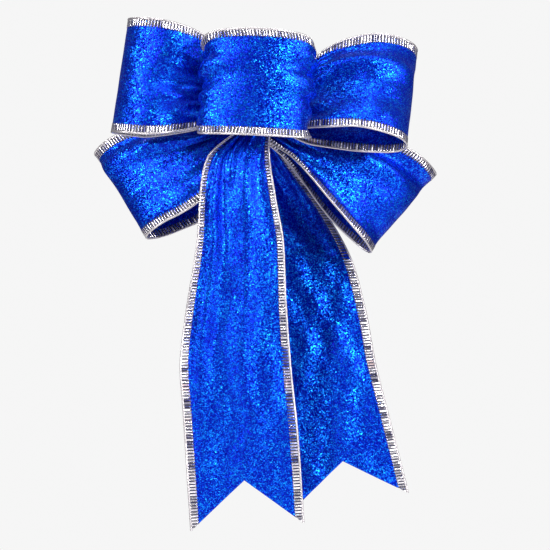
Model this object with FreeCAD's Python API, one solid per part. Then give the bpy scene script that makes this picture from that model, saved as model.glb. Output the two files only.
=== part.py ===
"""Pre-made gift bow of wired glitter ribbon, as an assembly of separate solids.

A bow is five loops and two tails of one ribbon. Each length of ribbon is a fabric web with a woven
edging along both sides, and each edging holds a thin shaping wire. All lengths meet at the knot,
where a coated wire tie is wound round the gathered ribbon and twisted, and its two legs are left
free at the back to fasten the bow.

Frame, in millimetres: +X to the bow's right as seen from the front, +Z up, and -Y towards the
viewer. The origin is at the back of the knot, where the twisted tie leaves it.
"""

import FreeCAD, Part
import math
import os

from FreeCAD import Placement, Rotation, Vector

OUT = "parts"

# ---- ribbon ----
ribbon_width = 54.0  # over both wrapped wires
web_thick = 0.45
edging_width = 3.2
edging_thick = 0.9
seam_gap = 0.05  # between the web and its edgings
wire_radius = 0.55  # of the shaping wire with the thread wrapped round it
wire_gap = 0.05  # between a wire and the edging it is stitched to

# ---- knot and tie ----
knot_depth = 8.0  # from the origin forwards to the knot's centre
waist_radius = 5.2  # of the gathered ribbon under the tie
knot_end_radius = 6.4
knot_half_length = 6.0
tie_core_radius = 0.3
tie_radius = 0.6  # over the coating
tie_core_clearance = 0.02
tie_turns = 2
tie_turn_gap = 0.1
tie_seat_gap = 0.05  # between the turns and the gathered ribbon
tie_twist_gap = 0.05  # between the turns and the twisted pair
pair_gap = 0.1  # between the twisted pair's two wires
twist_radius = tie_radius + pair_gap / 2  # of each wire's axis round the pair's axis
twist_pitch = 3.6
twist_turns = 2
cut_rise = 0.875 * tie_radius  # how far a wire's square cut end stands past its axis, at the steepest
leg_gap = 0.05  # between a twisted wire's end and its leg's
leg_length = 38.0
leg_direction = Vector(0.30, 0.55, 0.78)  # of the right leg
leg_tip_bare = 1.5  # core wire that shows past the coating

# ---- loops and tails ----
strand_clearance = 0.25  # between a rim wire at the knot and the loop's middle plane
strand_gap = wire_radius + strand_clearance  # from a loop's middle plane to each strand at the knot
profile_points = 29  # along a loop's section
edge_points = 25  # along an edge line
notch_margin = 20.0  # how far the notch cutter reaches past a tail

TEARDROP_PEAK = 0.7698  # the largest value of sin(a) * sin(a / 2)

# A loop starts a root past the knot's end radius, and its length is from the knot's centre.
# A loop's outline: (share of its length, lower edge, upper edge), the edges as shares of the ribbon's
# width from the loop's axis. The ribbon is gathered at the knot and full width at the turn.
LOOPS = {
    "upper_left": dict(
        side=-1, lift=8.6, lean=10.0, roll=0.0, root=2.4, length=66.0, front=15.0, back=6.0,
        outline=[
            (0.00, -0.12, 0.12), (0.10, -0.14, 0.30), (0.21, -0.18, 0.44), (0.34, -0.24, 0.53),
            (0.50, -0.30, 0.59), (0.73, -0.365, 0.62), (1.05, -0.38, 0.615),
        ],
    ),
    "upper_right": dict(
        side=1, lift=-3.5, lean=10.0, roll=25.0, root=2.4, length=72.0, front=15.0, back=6.0,
        outline=[
            (0.00, -0.12, 0.12), (0.10, -0.17, 0.31), (0.26, -0.24, 0.50), (0.40, -0.265, 0.59),
            (0.56, -0.275, 0.64), (0.80, -0.285, 0.69), (1.05, -0.265, 0.715),
        ],
    ),
    "lower_left": dict(
        side=-1, lift=-37.5, lean=-12.0, roll=20.0, root=2.9, length=78.0, front=7.0, back=13.0,
        outline=[
            (0.00, -0.12, 0.12), (0.12, -0.21, 0.15), (0.30, -0.33, 0.27), (0.50, -0.39, 0.46),
            (0.65, -0.38, 0.58), (0.81, -0.335, 0.65), (1.05, -0.29, 0.685),
        ],
    ),
    "lower_right": dict(
        side=1, lift=-43.0, lean=-11.0, roll=13.0, root=2.9, length=85.0, front=10.0, back=8.0,
        outline=[
            (0.00, -0.12, 0.12), (0.10, -0.11, 0.13), (0.22, -0.10, 0.22), (0.40, -0.145, 0.42),
            (0.60, -0.19, 0.59), (0.78, -0.215, 0.69), (1.05, -0.225, 0.745),
        ],
    ),
    "centre": dict(
        side=0, lift=0.0, lean=0.0, roll=2.5, root=0.8, length=42.0, front=24.6, back=24.6,
        outline=[
            (0.00, -0.11, 0.11), (0.12, -0.13, 0.22), (0.30, -0.19, 0.35), (0.50, -0.23, 0.44),
            (0.66, -0.25, 0.50), (0.85, -0.265, 0.585), (1.05, -0.27, 0.63),
        ],
    ),
}

# A tail's section is (height, depth) of its middle surface, front to back. Its edges are (x, height)
# from the knot down to the cut end, and apex is the top of the notch in that end.
TAILS = {
    "left_tail": dict(
        section=[
            (-7.2, -12.0), (-14.0, -16.5), (-30.0, -19.0), (-60.0, -17.0), (-100.0, -12.5),
            (-150.0, -10.0), (-202.0, -9.0),
        ],
        left=[
            (-6.0, -7.2), (-15.0, -15.0), (-22.0, -23.0), (-26.0, -35.0), (-28.2, -62.0),
            (-33.5, -94.0), (-36.3, -118.0), (-34.9, -142.0), (-31.4, -197.3),
        ],
        right=[
            (6.0, -7.2), (6.0, -21.0), (9.0, -41.0), (12.5, -60.0), (14.0, -90.0),
            (16.5, -122.0), (19.5, -150.0), (22.4, -193.4),
        ],
        apex=(-6.4, -172.9),
    ),
    "right_tail": dict(
        section=[
            (-7.2, -3.5), (-16.0, 6.0), (-30.0, 13.0), (-50.0, 18.0), (-80.0, 16.0),
            (-120.0, 10.0), (-194.0, 5.0),
        ],
        left=[
            (-6.0, -7.2), (-8.0, -25.0), (-9.0, -60.0), (-4.0, -94.0), (1.5, -118.0),
            (7.0, -141.0), (18.5, -188.0),
        ],
        right=[
            (6.0, -7.2), (16.0, -22.0), (33.0, -45.0), (45.5, -67.0), (53.0, -94.0),
            (57.2, -118.0), (63.0, -141.5), (73.0, -181.3),
        ],
        apex=(41.8, -166.0),
    ),
}


def smooth(pairs, place):
    """The value at a place on the smooth line through (place, value) pairs."""
    last = len(pairs) - 1
    rising = pairs[-1][0] > pairs[0][0]
    i = 0
    while i < last - 1 and (place > pairs[i + 1][0]) == rising:
        i += 1
    slopes = []
    for j in (i, i + 1):
        before, after = pairs[max(j - 1, 0)], pairs[min(j + 1, last)]
        slopes.append((after[1] - before[1]) / (after[0] - before[0]))
    step = pairs[i + 1][0] - pairs[i][0]
    t = (place - pairs[i][0]) / step
    start = (2 * t**3 - 3 * t**2 + 1) * pairs[i][1] + (t**3 - 2 * t**2 + t) * slopes[0] * step
    return start + (3 * t**2 - 2 * t**3) * pairs[i + 1][1] + (t**3 - t**2) * slopes[1] * step


def spline(points):
    """An edge through the points."""
    curve = Part.BSplineCurve()
    curve.interpolate(points)
    return curve.toShape()


def face_between(first, second):
    """A flat face bounded by two splines that run the same way, and straight lines between their ends."""
    return Part.Face(
        Part.Wire(
            [
                spline(first),
                Part.makeLine(first[-1], second[-1]),
                spline(second[::-1]),
                Part.makeLine(second[0], first[0]),
            ]
        )
    )


def one_solid(node, shape):
    """The shape's only solid. A node that came apart stops the build."""
    if len(shape.Solids) != 1:
        raise ValueError(f"{node}: expected one solid, got {len(shape.Solids)}")
    solid = shape.Solids[0]
    if not solid.isValid() or solid.Volume <= 0:
        raise ValueError(f"{node}: the solid isn't valid")
    return solid


def offset_lines(points, thickness):
    """The two lines half the thickness either side of a line of 2-D points."""
    one, other = [], []
    for i, (a, b) in enumerate(points):
        before = points[max(i - 1, 0)]
        after = points[min(i + 1, len(points) - 1)]
        da, db = after[0] - before[0], after[1] - before[1]
        size = math.hypot(da, db)
        na, nb = -db / size * thickness / 2, da / size * thickness / 2
        one.append((a + na, b + nb))
        other.append((a - na, b - nb))
    return one, other


def loop_start(loop):
    """How far from the knot's centre a loop starts."""
    return knot_end_radius + loop["root"]


def teardrop(loop):
    """(reach, height above the middle plane) along a loop: out along its front, round and back."""
    start = loop_start(loop)
    span = loop["length"] - start
    points = []
    for i in range(profile_points):
        share = i / (profile_points - 1)
        turn = 2 * math.pi * share
        blend = min(max((share - 0.3) / 0.4, 0.0), 1.0)
        blend = blend * blend * (3 - 2 * blend)
        bulge = (loop["front"] + (loop["back"] - loop["front"]) * blend) / TEARDROP_PEAK
        reach = start + span * (1 - math.cos(turn)) / 2
        rise = bulge * math.sin(turn) * math.sin(turn / 2) + strand_gap * math.cos(turn / 2)
        points.append((reach, rise))
    return points


def loop_sheet(loop, thickness):
    """A loop of ribbon of that thickness, wider than the ribbon, in the loop's own axes."""
    one, other = offset_lines(teardrop(loop), thickness)
    side = loop["side"] or 1
    low = -ribbon_width
    first = [Vector(side * u, -w, low) for u, w in one]
    second = [Vector(side * u, -w, low) for u, w in other]
    return face_between(first, second).extrude(Vector(0, 0, 2 * ribbon_width))


def loop_edge_line(loop, which):
    """The loop's lower (1) or upper (2) edge as points in its own XZ plane."""
    side = loop["side"] or 1
    start = loop_start(loop)
    span = loop["length"] - start
    pairs = [(start + span * row[0], ribbon_width * row[which]) for row in loop["outline"]]
    reach = pairs[-1][0] - pairs[0][0]
    places = [pairs[0][0] + reach * i / (edge_points - 1) for i in range(edge_points)]
    return [Vector(side * u, 0, smooth(pairs, u)) for u in places]


def loop_wire_path(loop, edge, inward):
    """The middle of the wire along an edge line of the loop."""
    side = loop["side"] or 1
    pairs = [(side * p.x, p.z) for p in inset(edge, inward, wire_radius)]
    return [Vector(side * u, -w, smooth(pairs, u)) for u, w in teardrop(loop)]


def loop_placement(loop):
    """Where the loop's own axes go. Lift raises its outer end, lean brings it forwards, and roll takes
    its upper edge back."""
    side = loop["side"] or 1
    turn = Rotation(Vector(0, 1, 0), -side * loop["lift"])
    turn = turn * Rotation(Vector(0, 0, 1), -side * loop["lean"])
    turn = turn * Rotation(Vector(1, 0, 0), -loop["roll"])
    if loop["side"] == 0:
        turn = Rotation(Vector(0, 0, 1), -90) * turn
    return Placement(Vector(0, -knot_depth, 0), turn)


def tail_sheet(tail, thickness):
    """A tail of ribbon of that thickness, wider than the ribbon."""
    one, other = offset_lines(tail["section"], thickness)
    half = 2 * ribbon_width
    first = [Vector(-half, y, z) for z, y in one]
    second = [Vector(-half, y, z) for z, y in other]
    return face_between(first, second).extrude(Vector(2 * half, 0, 0))


def tail_edge_line(tail, side):
    """A tail's left or right edge as points in the XZ plane."""
    pairs = [(z, x) for x, z in tail[side]]
    top, bottom = pairs[0][0], pairs[-1][0]
    heights = [top + (bottom - top) * i / (edge_points - 1) for i in range(edge_points)]
    return [Vector(smooth(pairs, z), 0, z) for z in heights]


def tail_wire_path(tail, edge, inward):
    """The middle of the wire along an edge line of the tail."""
    path = inset(edge, inward, wire_radius)
    return [Vector(p.x, smooth(tail["section"], p.z), p.z) for p in path]


def notch_cutter(tail):
    """What the V cut takes off the end of a tail."""
    (lx, lz), (rx, rz) = tail["left"][-1], tail["right"][-1]
    apex_x, apex_z = tail["apex"]
    below = min(lz, rz) - notch_margin
    corners = [
        (lx - notch_margin, lz - (apex_z - lz) / (apex_x - lx) * notch_margin),
        (apex_x, apex_z),
        (rx + notch_margin, rz - (apex_z - rz) / (rx - apex_x) * notch_margin),
        (rx + notch_margin, below - notch_margin),
        (lx - notch_margin, below - notch_margin),
    ]
    points = [Vector(x, -2 * ribbon_width, z) for x, z in corners]
    face = Part.Face(Part.makePolygon(points + points[:1]))
    return face.extrude(Vector(0, 4 * ribbon_width, 0))


def window(first, second):
    """The space in front of and behind the flat region between two edge lines."""
    deep = Vector(0, -2 * ribbon_width, 0)
    face = face_between([p + deep for p in first], [p + deep for p in second])
    return face.extrude(Vector(0, 4 * ribbon_width, 0))


def inset(points, inward, distance):
    """The edge line a distance further in, measured square to it."""
    line = []
    for i, p in enumerate(points):
        along = points[min(i + 1, len(points) - 1)] - points[max(i - 1, 0)]
        normal = Vector(-along.z, 0, along.x).normalize()
        if normal.dot(inward) < 0:
            normal = normal * -1
        line.append(p + normal * distance)
    return line


def swept(points, radius):
    """A round wire along the points."""
    path = spline(points)
    circle = Part.Wire(Part.makeCircle(radius, points[0], path.tangentAt(path.FirstParameter)))
    return Part.Wire(path).makePipeShell([circle], True, True)


def ribbon(name, ends, lines, inward, sheet, paths, place, cutter=None):
    """The five pieces of a length of ribbon, by node name: its web, its edgings and their wires. ends
    names the two edges, lines are their edge lines, inward leads from the first to the second, sheet
    makes a band of a given thickness, and paths are the middles of the wires."""
    outer = 2 * wire_radius + wire_gap
    inner = outer + edging_width
    seam = inner + seam_gap
    first, second = lines
    outward = inward * -1
    one, other = (f"{name}_{end}_edging" for end in ends)
    bands = {
        f"{name}_web": (inset(first, inward, seam), inset(second, outward, seam), web_thick),
        one: (inset(first, inward, outer), inset(first, inward, inner), edging_thick),
        other: (inset(second, outward, inner), inset(second, outward, outer), edging_thick),
    }
    made = {}
    for node, (near, far, thickness) in bands.items():
        made[node] = sheet(thickness).common(window(near, far))
        if cutter is not None:
            made[node] = made[node].cut(cutter)
    for end, path in zip(ends, paths):
        made[f"{name}_{end}_wire"] = swept(path, wire_radius)
    for node, shape in made.items():
        solid = one_solid(node, shape)
        solid.Placement = place
        made[node] = solid
    return made


def loop_pieces(name, loop):
    """A loop's web, edgings and wires."""
    up = Vector(0, 0, 1)
    low, high = loop_edge_line(loop, 1), loop_edge_line(loop, 2)
    return ribbon(
        name, ("lower", "upper"), (low, high), up, lambda thickness: loop_sheet(loop, thickness),
        (loop_wire_path(loop, low, up), loop_wire_path(loop, high, up * -1)), loop_placement(loop),
    )


def tail_pieces(name, tail):
    """A tail's web, edgings and wires, with the notch cut into its end."""
    right = Vector(1, 0, 0)
    near, far = tail_edge_line(tail, "left"), tail_edge_line(tail, "right")
    return ribbon(
        name, ("left", "right"), (near, far), right, lambda thickness: tail_sheet(tail, thickness),
        (tail_wire_path(tail, near, right), tail_wire_path(tail, far, right * -1)), Placement(),
        notch_cutter(tail),
    )


def knot_gather():
    """The gathered ribbon under the tie, waisted where the tie is wound."""
    half = knot_half_length
    groove = (tie_turns + 1) * (tie_radius + tie_turn_gap / 2)
    outline = [
        Vector(-half, 0, 0), Vector(-half, 0, knot_end_radius), Vector(-groove, 0, waist_radius),
        Vector(groove, 0, waist_radius), Vector(half, 0, knot_end_radius), Vector(half, 0, 0),
    ]
    face = Part.Face(Part.makePolygon(outline + outline[:1]))
    solid = one_solid("knot_gather", face.revolve(Vector(0, 0, 0), Vector(1, 0, 0), 360))
    solid.Placement = Placement(Vector(0, -knot_depth, 0), Rotation())
    return solid


def wrap_wire(radius):
    """The turns of the tie round the waist, with wire of that radius."""
    pitch = 2 * tie_radius + tie_turn_gap
    length = pitch * tie_turns
    turn_radius = waist_radius + tie_seat_gap + tie_radius
    helix = Part.makeHelix(pitch, length, turn_radius)
    slope = Vector(0, 2 * math.pi * turn_radius, pitch)
    circle = Part.Wire(Part.makeCircle(radius, Vector(turn_radius, 0, 0), slope))
    solid = Part.Wire(helix).makePipeShell([circle], True, True)
    turn = Rotation(Vector(0, 1, 0), 90)
    solid.Placement = Placement(Vector(-length / 2, -knot_depth, 0), turn)
    return solid


def twist_start():
    """How far behind the knot's centre the twisted pair starts."""
    return waist_radius + tie_seat_gap + 2 * tie_radius + cut_rise + tie_twist_gap


def twist_end():
    """The depth at which the twisted pair ends."""
    return -knot_depth + twist_start() + twist_pitch * twist_turns


def twisted_wire(radius, phase):
    """One wire of the twisted pair behind the knot."""
    helix = Part.makeHelix(twist_pitch, twist_pitch * twist_turns, twist_radius)
    slope = Vector(0, 2 * math.pi * twist_radius, twist_pitch)
    circle = Part.Wire(Part.makeCircle(radius, Vector(twist_radius, 0, 0), slope))
    solid = Part.Wire(helix).makePipeShell([circle], True, True)
    turn = Rotation(Vector(1, 0, 0), -90) * Rotation(Vector(0, 0, 1), phase)
    solid.Placement = Placement(Vector(0, -knot_depth + twist_start(), 0), turn)
    return solid


def leg_wire(side, radius, start, length):
    """A leg's wire of that radius, from a distance along the leg."""
    direction = Vector(side * leg_direction.x, leg_direction.y, leg_direction.z).normalize()
    root = Vector(side * twist_radius, twist_end() + 2 * cut_rise + leg_gap, 0)
    return Part.makeCylinder(radius, length, root + direction * start, direction)


def tie_pieces():
    """The tie: its turns round the knot, its twisted pair and its two legs, each a core in a coating."""
    bore = tie_core_radius + tie_core_clearance
    made = {
        "tie_wrap_core": wrap_wire(tie_core_radius),
        "tie_wrap_coating": wrap_wire(tie_radius).cut(wrap_wire(bore)),
    }
    for end, side, phase in (("left", -1, 180), ("right", 1, 0)):
        hollow = twisted_wire(bore, phase)
        made[f"tie_{end}_twist_core"] = twisted_wire(tie_core_radius, phase)
        made[f"tie_{end}_twist_coating"] = twisted_wire(tie_radius, phase).cut(hollow)
        coated = leg_wire(side, tie_radius, 0, leg_length - leg_tip_bare)
        hollow = leg_wire(side, bore, -1, leg_length + 2)
        made[f"tie_{end}_leg_core"] = leg_wire(side, tie_core_radius, 0, leg_length)
        made[f"tie_{end}_leg_coating"] = coated.cut(hollow)
    return {node: one_solid(node, shape) for node, shape in made.items()}


def build():
    """Every node of the bow, by name."""
    nodes = {"knot_gather": knot_gather()}
    nodes.update(tie_pieces())
    for name, loop in LOOPS.items():
        nodes.update(loop_pieces(f"{name}_loop", loop))
    for name, tail in TAILS.items():
        nodes.update(tail_pieces(name, tail))
    return nodes


os.makedirs(OUT, exist_ok=True)
for node_name, node_shape in build().items():
    node_shape.exportStep(os.path.join(OUT, f"{node_name}.step"))
    print(node_name, len(node_shape.Solids), round(node_shape.Volume, 2))
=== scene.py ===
"""Looks of a pre-made gift bow of wired glitter ribbon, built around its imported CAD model.

Each loop and tail is one length of pleated ribbon: a glitter web, a stitched silver edging along both
sides, and a thread-wrapped shaping wire in each rim. The gather and the twist tie hold them together.
All sizes are in metres, in the CAD model's frame: +X right, +Z up, the front towards -Y.
"""

import logging
import math
from dataclasses import dataclass, field
from enum import Enum

import bpy
import numpy as np
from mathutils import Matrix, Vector


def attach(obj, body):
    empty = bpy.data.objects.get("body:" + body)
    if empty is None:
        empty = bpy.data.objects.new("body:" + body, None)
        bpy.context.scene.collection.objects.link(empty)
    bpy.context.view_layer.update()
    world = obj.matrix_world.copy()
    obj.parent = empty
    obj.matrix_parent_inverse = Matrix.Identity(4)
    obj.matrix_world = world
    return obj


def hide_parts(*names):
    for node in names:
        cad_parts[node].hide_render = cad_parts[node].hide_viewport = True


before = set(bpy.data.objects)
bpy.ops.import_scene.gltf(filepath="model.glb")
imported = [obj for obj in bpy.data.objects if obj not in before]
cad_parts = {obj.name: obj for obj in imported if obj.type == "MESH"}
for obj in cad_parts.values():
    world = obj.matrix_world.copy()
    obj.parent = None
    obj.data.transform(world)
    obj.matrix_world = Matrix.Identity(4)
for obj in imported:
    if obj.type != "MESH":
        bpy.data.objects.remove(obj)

log = logging.getLogger("gift_bow")

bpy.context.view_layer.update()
MM = 0.001
RIBBON_WIDTH = 54.0 * MM
WEB_INSET = 0.02  # the share of the ribbon's width at each side that is rim and not web
WEB_THICK = 0.36 * MM
EDGING_WIDTH = 3.2 * MM
EDGING_THICK = 0.62 * MM
WIRE_RADIUS = 0.55 * MM
BAR_PITCH = 1.46 * MM  # from one stitched bar of thread to the next
KNOT = np.array([0.0, -8.0, 0.0]) * MM  # the middle of the gather
TEARDROP_PEAK = 0.7698  # the greatest value of sin(a) * sin(a / 2)


class Held(Enum):
    """How a length of ribbon is held."""

    GATHERED = "gathered"
    HUNG = "hung"


class Rim(Enum):
    """The two long rims of a ribbon, as the share of its width where each lies."""

    FIRST = 0.0
    SECOND = 1.0


# ---------------------------------------------------------------- small tools


def ease(value: np.ndarray, start: float, end: float) -> np.ndarray:
    """A smooth step from 0 at start to 1 at end."""
    x = np.clip((value - start) / (end - start), 0.0, 1.0)
    return x * x * (3 - 2 * x)


def through(pairs: list[tuple[float, float]], places: np.ndarray) -> np.ndarray:
    """Reads a smooth line through (place, value) pairs.

    Args:
        pairs: Points of the line, their places in rising order.
        places: Where it is read.

    Returns:
        The line's values there.
    """
    x = np.array([p[0] for p in pairs])
    y = np.array([p[1] for p in pairs])
    slopes = np.empty(len(x))
    slopes[1:-1] = (y[2:] - y[:-2]) / (x[2:] - x[:-2])
    slopes[0] = (y[1] - y[0]) / (x[1] - x[0])
    slopes[-1] = (y[-1] - y[-2]) / (x[-1] - x[-2])
    i = np.clip(np.searchsorted(x, places) - 1, 0, len(x) - 2)
    step = x[i + 1] - x[i]
    t = (places - x[i]) / step
    start = (2 * t**3 - 3 * t**2 + 1) * y[i] + (t**3 - 2 * t**2 + t) * slopes[i] * step
    return start + (3 * t**2 - 2 * t**3) * y[i + 1] + (t**3 - t**2) * slopes[i + 1] * step


def turn_about(axis: str, degrees: float) -> np.ndarray:
    """The 3 x 3 matrix of a right-handed turn about a named axis."""
    c, s = math.cos(math.radians(degrees)), math.sin(math.radians(degrees))
    return {
        "x": np.array([[1, 0, 0], [0, c, -s], [0, s, c]]),
        "y": np.array([[c, 0, s], [0, 1, 0], [-s, 0, c]]),
        "z": np.array([[c, -s, 0], [s, c, 0], [0, 0, 1]]),
    }[axis]


def link_mesh(name: str, points: np.ndarray, faces: list, uv: np.ndarray | None = None) -> bpy.types.Object:
    """Makes a smooth-shaded mesh object at the origin.

    Args:
        name: The piece's name.
        points: One row of x, y, z per vertex.
        faces: Tuples of vertex numbers.
        uv: One row of u, v per vertex, where a pattern follows the surface.

    Returns:
        The linked object.
    """
    mesh = bpy.data.meshes.new(name)
    mesh.from_pydata(points.tolist(), [], faces)
    mesh.polygons.foreach_set("use_smooth", [True] * len(mesh.polygons))
    if uv is not None:
        layer = mesh.uv_layers.new(name="weave")
        corners = np.zeros(len(mesh.loops), dtype=np.int32)
        mesh.loops.foreach_get("vertex_index", corners)
        layer.data.foreach_set("uv", uv[corners].astype(np.float32).ravel())
    mesh.update()
    piece = bpy.data.objects.new(name, mesh)
    bpy.context.scene.collection.objects.link(piece)
    return piece


def grid_normals(points: np.ndarray) -> np.ndarray:
    """Unit normals of a grid of points: along its rows crossed with along its columns."""
    normals = np.cross(np.gradient(points, axis=0), np.gradient(points, axis=1))
    return normals / np.maximum(np.linalg.norm(normals, axis=2, keepdims=True), 1e-12)


def shell_from_grid(name: str, points: np.ndarray, normals: np.ndarray, half: np.ndarray,
                    uv: np.ndarray) -> bpy.types.Object:
    """Makes a closed thin shell from a grid of points in its middle surface.

    Args:
        name: The piece's name.
        points: Grid of middle points, rows by columns by 3.
        normals: The unit normal at each.
        half: Half the thickness at each.
        uv: The pattern's coordinates at each.

    Returns:
        The linked object, its faces pointing outwards.
    """
    rows, columns = points.shape[:2]
    offset = normals * half[..., None]
    both = np.concatenate([(points + offset).reshape(-1, 3), (points - offset).reshape(-1, 3)])
    n = rows * columns
    index = np.arange(n).reshape(rows, columns)
    a, b, c, d = index[:-1, :-1], index[1:, :-1], index[1:, 1:], index[:-1, 1:]
    top = np.stack([a, b, c, d], axis=-1).reshape(-1, 4)
    bottom = np.stack([a, d, c, b], axis=-1).reshape(-1, 4) + n
    rim = np.concatenate([index[:, 0], index[-1, 1:], index[-2::-1, -1], index[0, -2:0:-1]])
    following = np.roll(rim, -1)
    wall = np.stack([rim, rim + n, following + n, following], axis=-1)
    faces = np.concatenate([top, bottom, wall]).tolist()
    flat_uv = np.tile(uv.reshape(-1, 2), (2, 1))
    return link_mesh(name, both, faces, flat_uv)


def tube_from_path(name: str, path: np.ndarray, side: np.ndarray, up: np.ndarray, radius: np.ndarray,
                   lengths: np.ndarray, around: int = 8) -> bpy.types.Object:
    """Makes a closed tube along a path.

    Args:
        name: The piece's name.
        path: Points along the middle.
        side: A unit vector square to the path at each point.
        up: The other unit vector square to it.
        radius: The radius at each point.
        lengths: The distance along the path at each point, for the pattern.
        around: Corners in the tube's section.

    Returns:
        The linked object, its faces pointing outwards.
    """
    angles = np.linspace(0, 2 * math.pi, around, endpoint=False)
    ring = np.cos(angles)[None, :, None] * side[:, None, :] + np.sin(angles)[None, :, None] * up[:, None, :]
    points = (path[:, None, :] + ring * radius[:, None, None]).reshape(-1, 3)
    count = len(path)
    faces = []
    for i in range(count - 1):
        for j in range(around):
            k = (j + 1) % around
            faces.append((i * around + j, i * around + k, (i + 1) * around + k, (i + 1) * around + j))
    faces.append(tuple(range(around))[::-1])
    faces.append(tuple(range((count - 1) * around, count * around)))
    uv = np.stack(
        [np.repeat(lengths, around), np.tile(angles / (2 * math.pi), count)], axis=-1
    )
    piece = link_mesh(name, points, faces, uv)
    turn_outwards(piece)
    return piece


def turn_outwards(piece: bpy.types.Object) -> None:
    """Makes a closed piece's faces point outwards.

    Args:
        piece: The piece, whose mesh is changed.
    """
    bpy.ops.object.select_all(action="DESELECT")
    piece.select_set(True)
    bpy.context.view_layer.objects.active = piece
    bpy.ops.object.mode_set(mode="EDIT")
    bpy.ops.mesh.select_all(action="SELECT")
    bpy.ops.mesh.normals_make_consistent(inside=False)
    bpy.ops.object.mode_set(mode="OBJECT")
    piece.select_set(False)


# ---------------------------------------------------------------- finishes


@dataclass(frozen=True)
class Shade:
    """Shortcuts for building one material's nodes."""

    tree: bpy.types.NodeTree

    def add(self, kind: str, **settings: object) -> bpy.types.Node:
        """Adds a node and sets its properties.

        Args:
            kind: The node's Blender type.
            settings: Property names and their values.

        Returns:
            The new node.
        """
        node = self.tree.nodes.new(kind)
        for key, value in settings.items():
            setattr(node, key, value)
        return node

    def join(self, source: bpy.types.NodeSocket, target: bpy.types.NodeSocket) -> None:
        """Links a socket to another."""
        self.tree.links.new(source, target)

    def math(self, operation: str, first: object, second: object = 0.0,
             third: object = 0.0) -> bpy.types.NodeSocket:
        """Adds a Math node whose inputs are numbers or sockets.

        Args:
            operation: What it works out.
            first: Its first input.
            second: Its second input, where the operation has one.
            third: Its third input, where the operation has one.

        Returns:
            Its output socket.
        """
        node = self.add("ShaderNodeMath", operation=operation)
        for socket, value in zip(node.inputs, (first, second, third)):
            if isinstance(value, bpy.types.NodeSocket):
                self.join(value, socket)
            else:
                socket.default_value = value
        return node.outputs[0]

    def jitter(self, colour: bpy.types.NodeSocket, amount: float) -> bpy.types.NodeSocket:
        """Turns a random colour into a small random vector about zero.

        Args:
            colour: The random colour.
            amount: How far each of its parts spreads, half below zero and half above.

        Returns:
            The vector.
        """
        centred = self.add("ShaderNodeVectorMath", operation="SUBTRACT")
        self.join(colour, centred.inputs[0])
        centred.inputs[1].default_value = (0.5, 0.5, 0.5)
        scaled = self.add("ShaderNodeVectorMath", operation="SCALE")
        self.join(centred.outputs[0], scaled.inputs[0])
        scaled.inputs["Scale"].default_value = amount
        return scaled.outputs[0]

    def total(self, first: bpy.types.NodeSocket, second: bpy.types.NodeSocket) -> bpy.types.NodeSocket:
        """Adds two vectors.

        Args:
            first: One vector.
            second: The other.

        Returns:
            Their sum.
        """
        node = self.add("ShaderNodeVectorMath", operation="ADD")
        self.join(first, node.inputs[0])
        self.join(second, node.inputs[1])
        return node.outputs[0]

    def unit(self, vector: bpy.types.NodeSocket) -> bpy.types.NodeSocket:
        """Scales a vector to length one."""
        node = self.add("ShaderNodeVectorMath", operation="NORMALIZE")
        self.join(vector, node.inputs[0])
        return node.outputs[0]

    def ramp(self, source: bpy.types.NodeSocket, stops: list[tuple[float, tuple]]) -> bpy.types.NodeSocket:
        """Adds a colour ramp over a socket.

        Args:
            source: The value it reads.
            stops: (place, linear colour) pairs.

        Returns:
            Its colour output.
        """
        node = self.add("ShaderNodeValToRGB")
        elements = node.color_ramp.elements
        while len(elements) < len(stops):
            elements.new(0.5)
        for element, (place, colour) in zip(elements, stops):
            element.position = place
            element.color = (*colour, 1.0)
        self.join(source, node.inputs[0])
        return node.outputs[0]


def blank_material(name: str) -> tuple[bpy.types.Material, Shade, bpy.types.Node]:
    """Makes a material that holds one Principled shader.

    Args:
        name: The material's name.

    Returns:
        The material, its node shortcuts and the shader.
    """
    material = bpy.data.materials.new(name)
    material.use_nodes = True
    shader = material.node_tree.nodes["Principled BSDF"]
    return material, Shade(material.node_tree), shader


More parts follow.
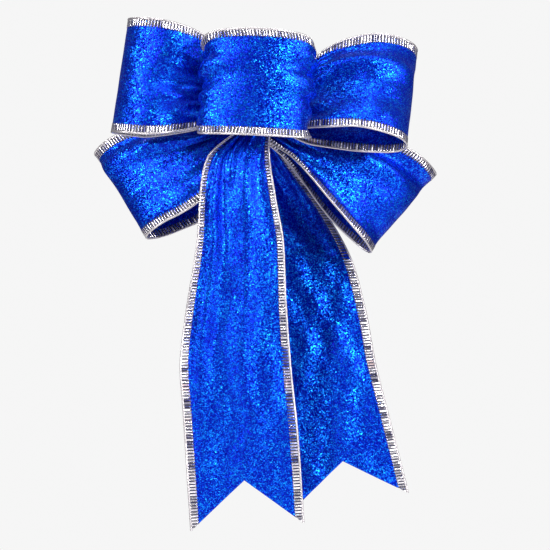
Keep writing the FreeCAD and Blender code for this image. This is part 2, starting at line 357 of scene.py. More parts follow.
@dataclass(frozen=True)
class GlitterRibbon:
    """Deep blue woven ground under a close coat of blue glitter flakes, each lying at its own tilt."""

    ground: tuple[float, float, float] = (0.000, 0.003, 0.26)
    flake_dark: tuple[float, float, float] = (0.000, 0.008, 0.42)
    flake_middle: tuple[float, float, float] = (0.002, 0.065, 0.76)
    flake_bright: tuple[float, float, float] = (0.010, 0.38, 1.0)
    flake_size: float = 0.56 * MM
    fineness: float = 1.9
    tilt: float = 0.30

    def flakes(self, shade: Shade, place: bpy.types.Node, size: float) -> bpy.types.Node:
        """A coat of flakes of one size.

        Args:
            shade: The material's node shortcuts.
            place: The texture coordinates.
            size: The flakes' size.

        Returns:
            The texture node, whose colour is random per flake.
        """
        cells = shade.add("ShaderNodeTexVoronoi", feature="F1", voronoi_dimensions="3D")
        cells.inputs["Scale"].default_value = 1 / size
        shade.join(place.outputs["Object"], cells.inputs["Vector"])
        return cells

    def material(self) -> bpy.types.Material:
        """Builds the material.

        Returns:
            The finished material, whose flakes lie on the piece's own coordinates.
        """
        material, shade, shader = blank_material("glitter_ribbon")
        place = shade.add("ShaderNodeTexCoord")
        coarse = self.flakes(shade, place, self.flake_size)
        fine = self.flakes(shade, place, self.flake_size / self.fineness)
        clouds = shade.add("ShaderNodeTexNoise")
        clouds.inputs["Scale"].default_value = 110
        clouds.inputs["Detail"].default_value = 3
        clouds.inputs["Roughness"].default_value = 0.6
        shade.join(place.outputs["Object"], clouds.inputs["Vector"])

        pick = shade.add("ShaderNodeSeparateColor")
        shade.join(coarse.outputs["Color"], pick.inputs[0])
        fine_pick = shade.add("ShaderNodeSeparateColor")
        shade.join(fine.outputs["Color"], fine_pick.inputs[0])
        level = shade.math("MULTIPLY_ADD", clouds.outputs["Fac"], 0.30, -0.10)
        level = shade.math("MULTIPLY_ADD", pick.outputs[0], 0.44, level)
        level = shade.math("MULTIPLY_ADD", fine_pick.outputs[1], 0.46, level)
        stops = [
            (0.16, self.ground), (0.42, self.flake_dark),
            (0.66, self.flake_middle), (0.92, self.flake_bright),
        ]
        shade.join(shade.ramp(level, stops), shader.inputs["Base Color"])
        shade.join(shade.math("MULTIPLY_ADD", level, 0.40, 0.58), shader.inputs["Metallic"])
        shade.join(shade.math("MULTIPLY_ADD", fine_pick.outputs[2], 0.16, 0.27), shader.inputs["Roughness"])

        surface = shade.add("ShaderNodeNewGeometry")
        tilts = [shade.jitter(cells.outputs["Color"], self.tilt) for cells in (coarse, fine)]
        turned = shade.total(surface.outputs["Normal"], shade.total(*tilts))
        shade.join(shade.unit(turned), shader.inputs["Normal"])
        shader.inputs["Specular IOR Level"].default_value = 0.15
        return material


@dataclass(frozen=True)
class SilverEdging:
    """Silver metallic thread stitched across the ribbon's side in bars, with the ground showing between, and
    painted dark reflections darkening the thread in some stretches.
    """

    thread: tuple[float, float, float] = (0.86, 0.82, 0.82)
    warm: tuple[float, float, float] = (0.80, 0.62, 0.58)
    # painted dark reflection: the grey that the thread turns in some stretches and bars, standing in for dark
    # surroundings mirrored in the silver
    dark_reflection: tuple[float, float, float] = (0.30, 0.28, 0.32)
    # the dark ground between the bars, and also the darkest painted reflection on the thread
    gap_and_dark_reflection: tuple[float, float, float] = (0.015, 0.015, 0.05)
    lean: float = 0.30

    def material(self) -> bpy.types.Material:
        """Builds the material.

        Returns:
            The finished material, whose pattern coordinate u counts bars.
        """
        material, shade, shader = blank_material("silver_edging")
        place = shade.add("ShaderNodeUVMap", uv_map="weave")
        split = shade.add("ShaderNodeSeparateXYZ")
        shade.join(place.outputs[0], split.inputs[0])
        bar = shade.math("FLOOR", split.outputs[0])
        within = shade.math("SUBTRACT", split.outputs[0], bar)
        away = shade.math("ABSOLUTE", shade.math("SUBTRACT", within, 0.5))
        noise = shade.add("ShaderNodeTexWhiteNoise", noise_dimensions="1D")
        shade.join(bar, noise.inputs["W"])
        # Slow noise along the trim darkens the thread in some stretches: painted dark reflections of the
        # surroundings in the silver.
        soft = shade.add("ShaderNodeTexNoise", noise_dimensions="1D")
        soft.inputs["Scale"].default_value = 0.16
        soft.inputs["Detail"].default_value = 1
        shade.join(split.outputs[0], soft.inputs["W"])
        # The tone's low stops are the painted dark reflections; the thread's own silver and a warm tint lie
        # above them.
        stops = [
            (0.0, self.gap_and_dark_reflection), (0.26, self.dark_reflection), (0.42, self.thread), (0.75, self.thread), (1.0, self.warm),
        ]
        dark_reflection_patches = shade.math("MULTIPLY_ADD", soft.outputs[0], 1.2, -0.28)
        tone = shade.math("MULTIPLY_ADD", noise.outputs[0], 0.45, dark_reflection_patches)
        tint = shade.ramp(tone, stops)
        covered = shade.ramp(away, [(0.20, (1, 1, 1)), (0.32, (0, 0, 0))])
        mix = shade.add("ShaderNodeMix", data_type="RGBA")
        shade.join(covered, mix.inputs[0])
        mix.inputs[6].default_value = (*self.gap_and_dark_reflection, 1)
        shade.join(tint, mix.inputs[7])
        shade.join(mix.outputs[2], shader.inputs["Base Color"])
        metal = shade.math("MULTIPLY_ADD", covered, 0.75, 0.15)
        shade.join(metal, shader.inputs["Metallic"])
        rough = shade.math("MULTIPLY_ADD", noise.outputs[0], 0.14, 0.20)
        shade.join(rough, shader.inputs["Roughness"])
        twist = shade.add("ShaderNodeTexWave", wave_type="BANDS", bands_direction="Y")
        twist.inputs["Scale"].default_value = 2.2
        twist.inputs["Distortion"].default_value = 1.2
        shade.join(place.outputs[0], twist.inputs["Vector"])
        bump = shade.add("ShaderNodeBump")
        bump.inputs["Strength"].default_value = 0.35
        bump.inputs["Distance"].default_value = 0.12 * MM
        shade.join(twist.outputs["Fac"], bump.inputs["Height"])
        leaning = shade.total(bump.outputs[0], shade.jitter(noise.outputs["Color"], self.lean))
        shade.join(shade.unit(leaning), shader.inputs["Normal"])
        return material


@dataclass(frozen=True)
class WrappedWire:
    """Silver thread wound closely round the rim's shaping wire."""

    thread: tuple[float, float, float] = (0.64, 0.60, 0.61)
    shadow: tuple[float, float, float] = (0.14, 0.13, 0.16)

    def material(self) -> bpy.types.Material:
        """Builds the material.

        Returns:
            The finished material, whose pattern coordinate u counts turns of thread.
        """
        material, shade, shader = blank_material("wrapped_wire")
        place = shade.add("ShaderNodeUVMap", uv_map="weave")
        split = shade.add("ShaderNodeSeparateXYZ")
        shade.join(place.outputs[0], split.inputs[0])
        turns = shade.math("ADD", split.outputs[0], split.outputs[1])
        within = shade.math("FRACT", turns)
        away = shade.math("ABSOLUTE", shade.math("SUBTRACT", within, 0.5))
        colour = shade.ramp(away, [(0.25, self.thread), (0.5, self.shadow)])
        shade.join(colour, shader.inputs["Base Color"])
        bump = shade.add("ShaderNodeBump", invert=True)
        bump.inputs["Strength"].default_value = 0.8
        bump.inputs["Distance"].default_value = 0.15 * MM
        shade.join(away, bump.inputs["Height"])
        shade.join(bump.outputs[0], shader.inputs["Normal"])
        shader.inputs["Metallic"].default_value = 0.75
        shader.inputs["Roughness"].default_value = 0.32
        return material


@dataclass(frozen=True)
class PlainFinish:
    """A plastic, metal or painted surface with slight mottling and wear."""

    name: str
    colour: tuple[float, float, float]
    dark: tuple[float, float, float]
    metallic: float
    roughness: float
    grain: float = 900.0
    relief: float = 0.03 * MM

    def material(self) -> bpy.types.Material:
        """Builds the material.

        Returns:
            The finished material, whose mottling lies on the piece's own coordinates.
        """
        material, shade, shader = blank_material(self.name)
        place = shade.add("ShaderNodeTexCoord")
        noise = shade.add("ShaderNodeTexNoise")
        noise.inputs["Scale"].default_value = self.grain
        noise.inputs["Detail"].default_value = 4
        shade.join(place.outputs["Object"], noise.inputs["Vector"])
        colour = shade.ramp(noise.outputs["Fac"], [(0.3, self.dark), (0.7, self.colour)])
        shade.join(colour, shader.inputs["Base Color"])
        rough = shade.math("MULTIPLY_ADD", noise.outputs["Fac"], 0.2, self.roughness - 0.1)
        shade.join(rough, shader.inputs["Roughness"])
        bump = shade.add("ShaderNodeBump")
        bump.inputs["Strength"].default_value = 0.5
        bump.inputs["Distance"].default_value = self.relief
        shade.join(noise.outputs["Fac"], bump.inputs["Height"])
        shade.join(bump.outputs[0], shader.inputs["Normal"])
        shader.inputs["Metallic"].default_value = self.metallic
        return material


@dataclass(frozen=True)
class Wardrobe:
    """The bow's finished materials, made once."""

    glitter: bpy.types.Material
    edging: bpy.types.Material
    wire: bpy.types.Material
    coating: bpy.types.Material
    core: bpy.types.Material

    @classmethod
    def make(cls) -> "Wardrobe":
        """Makes every material of the bow.

        Returns:
            The set of them.
        """
        return cls(
            glitter=GlitterRibbon().material(),
            edging=SilverEdging().material(),
            wire=WrappedWire().material(),
            coating=PlainFinish("tie_coating", (0.80, 0.80, 0.82), (0.62, 0.62, 0.66), 0.0, 0.42).material(),
            core=PlainFinish("tie_core", (0.62, 0.61, 0.60), (0.35, 0.34, 0.33), 1.0, 0.35).material(),
        )


# ---------------------------------------------------------------- the ribbon


@dataclass
class Ribbon:
    """One pleated length of ribbon, with its edgings and wires.

    A subclass says where the flat chord from rim to rim lies at each step along the ribbon. The chord
    is narrow at the knot, and the ribbon's full width is taken up there in pleats. Tight pleats give
    way to loose ones over the two distances in relax.
    """

    name: str
    rims: tuple[str, str]
    body: str
    held: Held
    seed: int
    tight_pleats: float = 6.5
    loose_pleats: float = 2.0
    deepest: float = 1.5 * MM
    relax: tuple[float, float] = (12.0 * MM, 42.0 * MM)
    crinkle: float = 0.42 * MM
    unevenness: float = 0.09
    rows: int = 150
    columns: int = 61
    rows_per_bar: int = 6
    bar_columns: int = 6
    bar_reach: float = 0.7 * MM

    def chord(self, share: np.ndarray) -> tuple[np.ndarray, np.ndarray, np.ndarray, np.ndarray]:
        """Where the ribbon's chord lies.

        Args:
            share: How far along the ribbon, from 0 at its start to 1 at its end.

        Returns:
            The first rim's points, the second rim's points, the unit direction that the pleats stand
            in, and the distance from the knot.
        """
        raise NotImplementedError

    def end_share(self, across: np.ndarray) -> np.ndarray:
        """How far along the ribbon its cut end is, at each place across it."""
        return np.ones_like(across)

    def pleat(self, across: np.ndarray, away: np.ndarray) -> np.ndarray:
        """The height of the pleats at unit depth.

        Args:
            across: Place across the ribbon, 0 to 1.
            away: Distance from the knot.

        Returns:
            Heights of about -1 to 1.
        """
        dice = np.random.default_rng(self.seed)
        phases = dice.uniform(0, 2 * math.pi, 4)
        lean = dice.uniform(-0.35, 0.35)
        merge = ease(away, *self.relax)
        warped = across + self.unevenness * np.sin(2 * math.pi * across + phases[2])
        warped = warped + 0.02 * np.sin(5 * across + 40 * away)
        tight = np.cos(2 * math.pi * self.tight_pleats * warped + phases[0])
        drift = phases[1] + lean * away / (20 * MM)
        loose = np.cos(2 * math.pi * self.loose_pleats * warped + drift)
        loose = 0.75 * loose + 0.25 * np.cos(2 * math.pi * self.loose_pleats * 1.6 * warped + phases[3])
        return (1 - merge) * tight + merge * loose

    def surface(self, share: np.ndarray, across: np.ndarray) -> np.ndarray:
        """Points of the ribbon's middle surface.

        Args:
            share: Rows, how far along the ribbon, one value or one per column.
            across: Columns, place across the ribbon.

        Returns:
            A grid of points.
        """
        along = np.broadcast_to(share[:, None] if share.ndim == 1 else share, (len(share), len(across)))
        flat = along.ravel()
        first, second, stand, away = self.chord(flat)
        shape = along.shape
        first, second, stand = (v.reshape(*shape, 3) for v in (first, second, stand))
        away = away.reshape(shape)
        t = np.broadcast_to(across[None, :], shape)
        points = first + (second - first) * t[..., None]
        depth = self.pleat_depth(away[:, 0], np.linalg.norm(second[:, 0] - first[:, 0], axis=1))
        height = self.pleat(t, away) * depth[:, None]
        height = height + self.wrinkle(t, along, away)
        return points + stand * height[..., None]

    def pleat_depth(self, away: np.ndarray, chords: np.ndarray) -> np.ndarray:
        """The pleats' depth that keeps the ribbon's full width along its pleated line.

        Args:
            away: Distance from the knot, per row.
            chords: The chord's length, per row.

        Returns:
            The depth per row, no more than the deepest near the knot and 1.8 times that further out.
        """
        t = np.linspace(0, 1, 121)
        height = self.pleat(t[None, :], away[:, None])
        slope = np.gradient(height, t, axis=1)
        low, high = np.zeros(len(away)), self.deepest * (1 + 0.8 * ease(away, 18 * MM, 45 * MM))
        for _ in range(18):
            middle = (low + high) / 2
            length = np.sqrt(chords[:, None] ** 2 + (slope * middle[:, None]) ** 2).mean(axis=1)
            short = length < RIBBON_WIDTH
            low, high = np.where(short, middle, low), np.where(short, high, middle)
        return (low + high) / 2

    def wrinkle(self, across: np.ndarray, share: np.ndarray, away: np.ndarray) -> np.ndarray:
        """Small uneven crinkles that stiff ribbon keeps, fuller away from the knot.

        Args:
            across: Place across the ribbon, 0 to 1.
            share: How far along the ribbon.
            away: Distance from the knot.

        Returns:
            Heights over the pleated surface.
        """
        dice = np.random.default_rng(self.seed + 100)
        waves = 7
        total = np.zeros_like(across)
        for _ in range(waves):
            a, b = dice.uniform(1.0, 4.5), dice.uniform(-7.0, 7.0)
            total = total + np.sin(2 * math.pi * (a * across + b * share) + dice.uniform(0, 6.3))
        strength = self.crinkle * (0.35 + 0.65 * ease(away, 12 * MM, 36 * MM))
        return total / (waves / 2) * strength

    def length(self) -> float:
        """Measures the ribbon's flat length.

        Returns:
            The length along its middle line.
        """
        share = np.linspace(0, 1, 400)
        first, second, _, _ = self.chord(share)
        middle = (first + second) / 2
        return float(np.linalg.norm(np.diff(middle, axis=0), axis=1).sum())

    def band(self, start: float, end: float, rows: int, columns: int) -> tuple[np.ndarray, ...]:
        """A grid over part of the ribbon's width.

        Args:
            start: Where it starts across the ribbon.
            end: Where it ends.
            rows: Steps along the ribbon.
            columns: Steps across.

        Returns:
            The points, their normals, and the shares along and across.
        """
        across = np.linspace(start, end, columns)
        share = np.linspace(0, 1, rows)[:, None] * self.end_share(across)[None, :]
        points = self.surface(share, across)
        return points, grid_normals(points), share, across

    def build(self, dress: Wardrobe) -> list[bpy.types.Object]:
        """Makes the ribbon's pieces, and binds them to their body and CAD nodes.

        Args:
            dress: The bow's materials.

        Returns:
            The web, the two edgings and the two wires.
        """
        length = self.length()
        web = self.build_web(length, dress)
        trims = []
        for rim, rim_name in zip(Rim, self.rims):
            trims.append(self.build_edging(rim, rim_name, length, dress))
            trims.append(self.build_wire(rim, rim_name, length, dress))
        log.info("%s: %.0f mm of ribbon", self.name, length / MM)
        return [web, *trims]

    def bind(self, piece: bpy.types.Object, node: str, material: bpy.types.Material) -> None:
        """Dresses a piece and makes it stand for its CAD node.

        Args:
            piece: The piece.
            node: The CAD node that it replaces.
            material: The finish.
        """
        piece.data.materials.append(material)
        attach(piece, self.body)
        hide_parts(node)

    def build_web(self, length: float, dress: Wardrobe) -> bpy.types.Object:
        """Makes the glitter web.

        Args:
            length: The ribbon's flat length.
            dress: The bow's materials.

        Returns:
            The web.
        """
        points, normals, share, across = self.band(WEB_INSET, 1 - WEB_INSET, self.rows, self.columns)
        uv = np.stack([share * length, np.broadcast_to(across, share.shape) * RIBBON_WIDTH], axis=-1)
        half = np.full(share.shape, WEB_THICK / 2)
        web = shell_from_grid(f"{self.name}_glitter_web", points, normals, half, uv / (10 * MM))
        self.bind(web, f"{self.name}_web", dress.glitter)
        return web

    def build_edging(self, rim: Rim, rim_name: str, length: float, dress: Wardrobe) -> bpy.types.Object:
        """Makes the stitched edging along one rim, a bar of thread at every pitch.

        Args:
            rim: Which rim it is on.
            rim_name: That rim's name.
            length: The ribbon's flat length.
            dress: The bow's materials.

        Returns:
            The edging.
        """
        inner = (2 * WIRE_RADIUS + EDGING_WIDTH) / RIBBON_WIDTH
        outer = 1.4 * WIRE_RADIUS / RIBBON_WIDTH
        bars = round(length / BAR_PITCH)
        rows = bars * self.rows_per_bar + 1
        start, end = (outer, inner) if rim is Rim.FIRST else (1 - inner, 1 - outer)
        points, normals, share, _ = self.band(start, end, rows, self.bar_columns)
        phase = share * bars
        rib = 0.5 - 0.5 * np.cos(2 * math.pi * phase)
        first_column, last_column = (1, 0) if rim is Rim.FIRST else (0, 1)
        to_rim = np.linspace(first_column, last_column, self.bar_columns)
        inward = points[:, -1] - points[:, 0]
        inward = inward / np.maximum(np.linalg.norm(inward, axis=1, keepdims=True), 1e-9)
        inner_column = -1 if rim is Rim.FIRST else 0
        sign = 1 if rim is Rim.FIRST else -1
        points[:, inner_column] += sign * inward * (rib[:, inner_column] - 0.5)[:, None] * self.bar_reach
        half = EDGING_THICK / 2 * (0.55 + 0.75 * rib) * (0.85 + 0.15 * to_rim)[None, :]
        uv = np.stack([phase + 0.5, np.broadcast_to(to_rim, share.shape)], axis=-1)
        edging = shell_from_grid(f"{self.name}_{rim_name}_stitching", points, normals, half, uv)
        self.bind(edging, f"{self.name}_{rim_name}_edging", dress.edging)
        return edging

    def build_wire(self, rim: Rim, rim_name: str, length: float, dress: Wardrobe) -> bpy.types.Object:
        """Makes the thread-wrapped wire in one rim.

        Args:
            rim: Which rim it is in.
            rim_name: That rim's name.
            length: The ribbon's flat length.
            dress: The bow's materials.

        Returns:
            The wire.
        """
        turns = round(length / BAR_PITCH * 2)
        rows = turns * 2 + 1
        inset = WIRE_RADIUS / RIBBON_WIDTH
        middle = inset if rim is Rim.FIRST else 1 - inset
        points, normals, share, _ = self.band(middle - 0.004, middle + 0.004, rows, 3)
        path, up = points[:, 1], normals[:, 1]
        along = np.gradient(path, axis=0)
        along /= np.linalg.norm(along, axis=1, keepdims=True)
        side = np.cross(along, up)
        radius = np.full(rows, WIRE_RADIUS)
        wire = tube_from_path(f"{self.name}_{rim_name}_rim_wire", path, side, up, radius, share[:, 1] * turns)
        self.bind(wire, f"{self.name}_{rim_name}_wire", dress.wire)
        return wire


@dataclass
class Loop(Ribbon):
    """A loop: out from the knot along its front, round its turn and back.

    Its side is 1 on the right, -1 on the left and 0 where it points forwards. Lift, lean and roll are
    in degrees. A row of its outline is a share of its span, and the heights there of its low and high
    rim, as shares of the ribbon's width.
    """

    side: int = 1
    lift: float = 0.0
    lean: float = 0.0
    roll: float = 0.0
    start: float = 8.8 * MM
    reach: float = 66.0 * MM
    front: float = 15.0 * MM
    back: float = 6.0 * MM
    strand_gap: float = 0.8 * MM
    outline: list[tuple[float, float, float]] = field(default_factory=list)

    def __post_init__(self) -> None:
        """Measures the way round the loop, so that its rows are spaced evenly along the ribbon."""
        angles = np.linspace(0, 2 * math.pi, 721)
        u, w = self.section(angles)
        steps = np.hypot(np.diff(u), np.diff(w))
        self._run = np.concatenate([[0], np.cumsum(steps)]) / steps.sum()
        self._angles = angles

    def section(self, angles: np.ndarray) -> tuple[np.ndarray, np.ndarray]:
        """The loop's section, a teardrop with its point at the knot.

        Args:
            angles: Places round the teardrop, 0 at its start to a full turn at its end.

        Returns:
            The reach from the knot, and the height over the loop's middle plane.
        """
        share = angles / (2 * math.pi)
        span = self.reach - self.start
        bulge = (self.front + (self.back - self.front) * ease(share, 0.3, 0.7)) / TEARDROP_PEAK
        reach = self.start + span * (1 - np.cos(angles)) / 2
        rise = bulge * np.sin(angles) * np.sin(angles / 2) + self.strand_gap * np.cos(angles / 2)
        return reach, rise

    def placement(self) -> np.ndarray:
        """The turn from the loop's own axes to the bow's.

        Returns:
            The turn, as a 3 x 3 matrix.
        """
        turn = turn_about("y", -self.side * self.lift) if self.side else turn_about("z", -90)
        side = self.side or 1
        return turn @ turn_about("z", -side * self.lean) @ turn_about("x", -self.roll)

    def chord(self, share: np.ndarray) -> tuple[np.ndarray, np.ndarray, np.ndarray, np.ndarray]:
        """Where the loop's chord lies.

        Args:
            share: How far along the ribbon, from 0 at its start to 1 at its end.

        Returns:
            The low rim's points, the high rim's points, the unit direction that the pleats stand in,
            and the distance from the knot.
        """
        side = self.side or 1
        u, w = self.section(np.interp(share, self._run, self._angles))
        span = self.reach - self.start
        lows = [(self.start + span * r[0], RIBBON_WIDTH * r[1]) for r in self.outline]
        highs = [(self.start + span * r[0], RIBBON_WIDTH * r[2]) for r in self.outline]
        turn = self.placement().T
        first = np.stack([side * u, -w, through(lows, u)], axis=-1) @ turn + KNOT
        second = np.stack([side * u, -w, through(highs, u)], axis=-1) @ turn + KNOT
        stand = np.broadcast_to(np.array([0.0, -1.0, 0.0]) @ turn, first.shape)
        return first, second, stand, u


@dataclass
class Tail(Ribbon):
    """A tail that hangs from the knot and ends in a V notch.

    Its lines are in millimetres. A row of its section is a height and how far back the tail lies there.
    A row of its left or right edge is a place across and a height. Its apex is the share of the tail's
    length that the notch takes at its deepest.
    """

    section: list[tuple[float, float]] = field(default_factory=list)
    left: list[tuple[float, float]] = field(default_factory=list)
    right: list[tuple[float, float]] = field(default_factory=list)
    apex: float = 0.0

    def chord(self, share: np.ndarray) -> tuple[np.ndarray, np.ndarray, np.ndarray, np.ndarray]:
        """Where the tail's chord lies.

        Args:
            share: How far down the tail, from 0 at the knot to 1 at its corners.

        Returns:
            The left edge's points, the right edge's points, the unit direction that the pleats stand
            in, and the distance from the knot.
        """
        points = []
        for edge in (self.left, self.right):
            top, bottom = edge[0][1], edge[-1][1]
            z = top + (bottom - top) * share
            x = through([(-height, across) for across, height in edge], -z)
            y = through([(-height, back) for height, back in self.section], -z)
            points.append(np.stack([x, y, z], axis=-1) * MM)
        away = -(points[0][:, 2] + points[1][:, 2]) / 2
        stand = np.broadcast_to(np.array([0.0, -1.0, 0.0]), points[0].shape)
        return points[0], points[1], stand, away

    def end_share(self, across: np.ndarray) -> np.ndarray:
        """The V notch: full length at the corners and short at its apex."""
        return 1 - self.apex * (1 - np.abs(2 * across - 1))


# ---------------------------------------------------------------- knot and tie


@dataclass
class Knot:
    """The crushed gather of ribbon under the tie, and the tie itself."""

    half_length: float = 6.2 * MM
    waist: float = 4.55 * MM
    end_radius: float = 5.9 * MM
    groove: float = 2.0 * MM
    folds: int = 13
    fold_depth: float = 0.55 * MM
    slices: int = 24

    def build(self, dress: Wardrobe) -> bpy.types.Object:
        """Makes the gather, and gives the tie's CAD nodes their finishes.

        Args:
            dress: The bow's materials.

        Returns:
            The gather.
        """
        gather = self.build_gather()
        gather.data.materials.append(dress.glitter)
        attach(gather, "knot")
        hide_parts("knot_gather")
        for node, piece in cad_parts.items():
            if node.startswith("tie_"):
                piece.data.materials.clear()
                piece.data.materials.append(dress.core if node.endswith("_core") else dress.coating)
                log.info("%s: dressed", node)
        return gather

    def build_gather(self) -> bpy.types.Object:
        """Makes the gather from a cylinder, waisted and pleated.

        Returns:
            The gather.
        """
        bpy.ops.object.select_all(action="DESELECT")
        bpy.ops.mesh.primitive_cylinder_add(
            vertices=self.folds * 12, radius=self.end_radius, depth=2 * self.half_length,
            end_fill_type="TRIFAN", location=tuple(KNOT), rotation=(0, math.pi / 2, 0),
        )
        gather = bpy.context.object
        gather.name = gather.data.name = "crushed_gather"
        bpy.ops.object.transform_apply(location=True, rotation=True, scale=True)
        for i in range(1, self.slices):
            place = -self.half_length + 2 * self.half_length * i / self.slices
            bpy.ops.object.mode_set(mode="EDIT")
            bpy.ops.mesh.select_all(action="SELECT")
            bpy.ops.mesh.bisect(plane_co=(place, 0, 0), plane_no=(1, 0, 0))
            bpy.ops.object.mode_set(mode="OBJECT")
        for vertex in gather.data.vertices:
            vertex.co = self.crushed(vertex.co)
        bpy.ops.object.shade_smooth()
        gather.select_set(False)
        return gather

    def crushed(self, point: Vector) -> Vector:
        """Moves a point of the plain cylinder to its place on the pleated, waisted gather.

        Args:
            point: The point on the cylinder.

        Returns:
            Its place on the gather.
        """
        from_axis = Vector((0, point.y - KNOT[1], point.z))
        if from_axis.length < 1e-6:
            return point.copy()
        share = from_axis.length / self.end_radius
        far = min(max((abs(point.x) - self.groove) / (self.half_length - self.groove), 0.0), 1.0)
        radius = self.waist + (self.end_radius - self.waist) * far * far * (3 - 2 * far)
        angle = math.atan2(from_axis.z, from_axis.y)
        wave = math.cos(self.folds * angle + 1.3 * math.sin(2 * angle) + point.x * 220)
        radius += self.fold_depth * (0.45 + 0.55 * far) * (abs(wave) - 0.6)
        return Vector((point.x, KNOT[1], 0)) + from_axis.normalized() * radius * share


# ---------------------------------------------------------------- the bow


@dataclass
class GiftBow:
    """The whole bow."""

    pieces: list[bpy.types.Object] = field(default_factory=list)

    def ribbons(self) -> list[Ribbon]:
        """Lists every length of ribbon, with its own shape.

        Returns:
            The five loops and the two tails.
        """
        rims = ("lower", "upper")
        loops = [
            Loop(
                "upper_left_loop", rims, "upper_left_loop", Held.GATHERED, 11, side=-1, lift=8.6,
                lean=10.0, reach=66.0 * MM, front=15.0 * MM, back=6.0 * MM,
                outline=[
                    (0.00, -0.12, 0.12), (0.10, -0.14, 0.30), (0.21, -0.18, 0.44), (0.34, -0.24, 0.53),
                    (0.50, -0.30, 0.59), (0.73, -0.365, 0.62), (1.05, -0.38, 0.615),
                ],
            ),
            Loop(
                "upper_right_loop", rims, "upper_right_loop", Held.GATHERED, 23, side=1, lift=-3.5,
                lean=10.0, roll=25.0, reach=72.0 * MM, front=15.0 * MM, back=6.0 * MM,
                outline=[
                    (0.00, -0.12, 0.12), (0.10, -0.17, 0.31), (0.26, -0.24, 0.50), (0.40, -0.265, 0.59),
                    (0.56, -0.275, 0.64), (0.80, -0.285, 0.69), (1.05, -0.265, 0.715),
                ],
            ),
            Loop(
                "lower_left_loop", rims, "lower_left_loop", Held.GATHERED, 37, side=-1, lift=-37.5,
                lean=-12.0, roll=20.0, start=9.3 * MM, reach=78.0 * MM, front=7.0 * MM, back=13.0 * MM,
                outline=[
                    (0.00, -0.12, 0.12), (0.12, -0.21, 0.15), (0.30, -0.33, 0.27), (0.50, -0.39, 0.46),
                    (0.65, -0.38, 0.58), (0.81, -0.335, 0.65), (1.05, -0.29, 0.685),
                ],
            ),
            Loop(
                "lower_right_loop", rims, "lower_right_loop", Held.GATHERED, 41, side=1, lift=-43.0,
                lean=-11.0, roll=13.0, start=9.3 * MM, reach=85.0 * MM, front=10.0 * MM, back=8.0 * MM,
                deepest=1.2 * MM,
                outline=[
                    (0.00, -0.12, 0.12), (0.10, -0.11, 0.13), (0.22, -0.10, 0.22), (0.40, -0.145, 0.42),
                    (0.60, -0.19, 0.59), (0.78, -0.215, 0.69), (1.05, -0.225, 0.745),
                ],
            ),
            Loop(
                "centre_loop", rims, "centre_loop", Held.GATHERED, 53, side=0, roll=2.5, start=7.2 * MM,
                reach=42.0 * MM, front=24.6 * MM, back=24.6 * MM,
                outline=[
                    (0.00, -0.11, 0.11), (0.12, -0.13, 0.22), (0.30, -0.19, 0.35), (0.50, -0.23, 0.44),
                    (0.66, -0.25, 0.50), (0.85, -0.265, 0.585), (1.05, -0.27, 0.63),
                ],
            ),
        ]
        rims = ("left", "right")
        tails = [
            Tail(
                "left_tail", rims, "left_tail", Held.HUNG, 61, tight_pleats=3.8, rows=210,
                relax=(9.0 * MM, 40.0 * MM), deepest=1.1 * MM,
                section=[
                    (-7.2, -10.6), (-14.0, -13.9), (-30.0, -16.8), (-60.0, -16.0), (-100.0, -12.4),
                    (-150.0, -10.0), (-202.0, -9.0),
                ],
                left=[
                    (-6.0, -7.2), (-15.5, -14.0), (-22.6, -21.0), (-26.0, -33.5), (-28.2, -62.0),
                    (-33.5, -94.0), (-36.3, -118.0), (-34.9, -142.0), (-31.4, -197.3),
                ],
                right=[
                    (6.0, -7.2), (6.0, -21.0), (9.0, -41.0), (12.5, -60.0), (14.0, -90.0),
                    (16.5, -122.0), (19.5, -150.0), (22.4, -193.4),
                ],
                apex=0.119,
            ),
            Tail(
                "right_tail", rims, "right_tail", Held.HUNG, 73, tight_pleats=3.8, rows=210,
                relax=(9.0 * MM, 40.0 * MM),
                section=[
                    (-7.2, -3.0), (-15.0, 8.4), (-30.0, 16.4), (-50.0, 21.0), (-80.0, 18.4),
                    (-120.0, 11.2), (-194.0, 5.0),
                ],
                left=[
                    (-6.0, -7.2), (-8.0, -25.0), (-9.0, -60.0), (-4.0, -94.0), (1.5, -118.0),
                    (7.0, -141.0), (18.5, -188.0),
                ],
                right=[
                    (3.6, -7.2), (14.6, -22.0), (33.0, -45.0), (45.5, -67.0), (53.0, -94.0),
                    (57.2, -118.0), (63.0, -141.5), (73.0, -181.3),
                ],
                apex=0.105,
            ),
        ]
        return [*loops, *tails]

    def build(self) -> None:
        """Makes every piece of the bow."""
        dress = Wardrobe.make()
        self.pieces.append(Knot().build(dress))
        for ribbon in self.ribbons():
            self.pieces.extend(ribbon.build(dress))
        log.info("bow: %d new pieces", len(self.pieces))


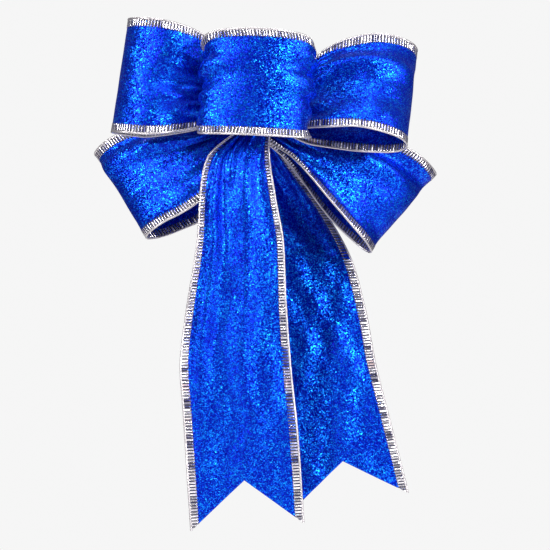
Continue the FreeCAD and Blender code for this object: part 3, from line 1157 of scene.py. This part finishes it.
@dataclass
class Studio:
    """A pale floor, soft light and the camera in front of the bow."""

    camera_away: float = 0.720
    lens: float = 100.0
    centre: tuple[float, float] = (8.5 * MM, -76.4 * MM)
    floor_height: float = -0.30
    floor_width: float = 0.96
    floor_corner: float = 0.08
    floor_thick: float = 0.01

    def build(self) -> None:
        """Makes the floor, the lights, the camera and the surroundings."""
        self.build_floor()
        self.build_lights()
        self.build_camera()
        self.build_world()
        log.info("studio: ready")

    def build_floor(self) -> None:
        """Makes the pale floor, a square with rounded corners."""
        bpy.ops.object.select_all(action="DESELECT")
        bpy.ops.mesh.primitive_plane_add(size=self.floor_width, location=(0, 0, self.floor_height))
        floor = bpy.context.object
        floor.name = floor.data.name = "pale_floor"
        bpy.ops.object.mode_set(mode="EDIT")
        bpy.ops.mesh.select_all(action="SELECT")
        bpy.ops.mesh.bevel(offset=self.floor_corner, segments=6, affect="VERTICES")
        bpy.ops.mesh.extrude_region_move(TRANSFORM_OT_translate={"value": (0, 0, -self.floor_thick)})
        bpy.ops.object.mode_set(mode="OBJECT")
        bpy.ops.object.transform_apply(location=True, rotation=True, scale=True)
        turn_outwards(floor)
        pale = PlainFinish("pale_floor", (0.86, 0.86, 0.86), (0.82, 0.82, 0.82), 0.0, 0.6, grain=60.0)
        floor.data.materials.append(pale.material())

    def add_light(self, name: str, place: tuple, size: tuple, power: float) -> None:
        """Adds a rectangular soft light that faces the bow.

        Args:
            name: Its name.
            place: Where it hangs.
            size: Its width and height.
            power: Its power in watts.
        """
        data = bpy.data.lights.new(name, "AREA")
        data.shape = "RECTANGLE"
        data.size, data.size_y = size
        data.energy = power
        lamp = bpy.data.objects.new(name, data)
        bpy.context.scene.collection.objects.link(lamp)
        lamp.location = place
        aim = Vector((0.0, 0.0, -0.06)) - Vector(place)
        lamp.rotation_euler = aim.to_track_quat("-Z", "Y").to_euler()

    def build_lights(self) -> None:
        """Hangs the soft lights."""
        self.add_light("left", (-0.85, -0.85, 0.34), (0.24, 0.50), 15)
        self.add_light("right", (0.85, -0.85, 0.28), (0.24, 0.50), 18)
        self.add_light("top", (0.05, -0.45, 1.1), (0.5, 0.4), 6)
        self.add_light("low", (-0.2, -0.9, -0.7), (0.5, 0.25), 1.5)
        self.add_light("back", (0.1, 1.0, 0.5), (0.6, 0.5), 6)

    def build_camera(self) -> None:
        """Sets the camera in front of the bow."""
        data = bpy.data.cameras.new("camera")
        data.lens = self.lens
        data.sensor_width = 36.0
        camera = bpy.data.objects.new("camera", data)
        bpy.context.scene.collection.objects.link(camera)
        camera.location = (self.centre[0], KNOT[1] - self.camera_away, self.centre[1])
        camera.rotation_euler = (math.pi / 2, 0, 0)
        bpy.context.scene.camera = camera

    def build_world(self) -> None:
        """Makes surroundings that are white behind the bow and softly graded in its reflections."""
        world = bpy.data.worlds.new("studio")
        bpy.context.scene.world = world
        world.use_nodes = True
        shade = Shade(world.node_tree)
        background = world.node_tree.nodes["Background"]
        place = shade.add("ShaderNodeTexCoord")
        split = shade.add("ShaderNodeSeparateXYZ")
        shade.join(place.outputs["Generated"], split.inputs[0])
        height = shade.math("MULTIPLY_ADD", split.outputs[2], 0.5, 0.5)
        tones = [
            (0.0, (0.03, 0.03, 0.04)), (0.42, (0.06, 0.06, 0.08)),
            (0.60, (0.14, 0.14, 0.16)), (1.0, (0.35, 0.35, 0.35)),
        ]
        graded = shade.ramp(height, tones)
        path = shade.add("ShaderNodeLightPath")
        mix = shade.add("ShaderNodeMix", data_type="RGBA")
        shade.join(path.outputs["Is Camera Ray"], mix.inputs[0])
        shade.join(graded, mix.inputs[6])
        mix.inputs[7].default_value = (0.92, 0.92, 0.92, 1)
        shade.join(mix.outputs[2], background.inputs["Color"])
        bpy.context.scene.view_settings.view_transform = "Standard"


def main() -> None:
    """Builds the bow and its studio."""
    logging.basicConfig(level=logging.INFO, format="%(name)s: %(message)s")
    GiftBow().build()
    Studio().build()


if __name__ == "__main__":
    main()
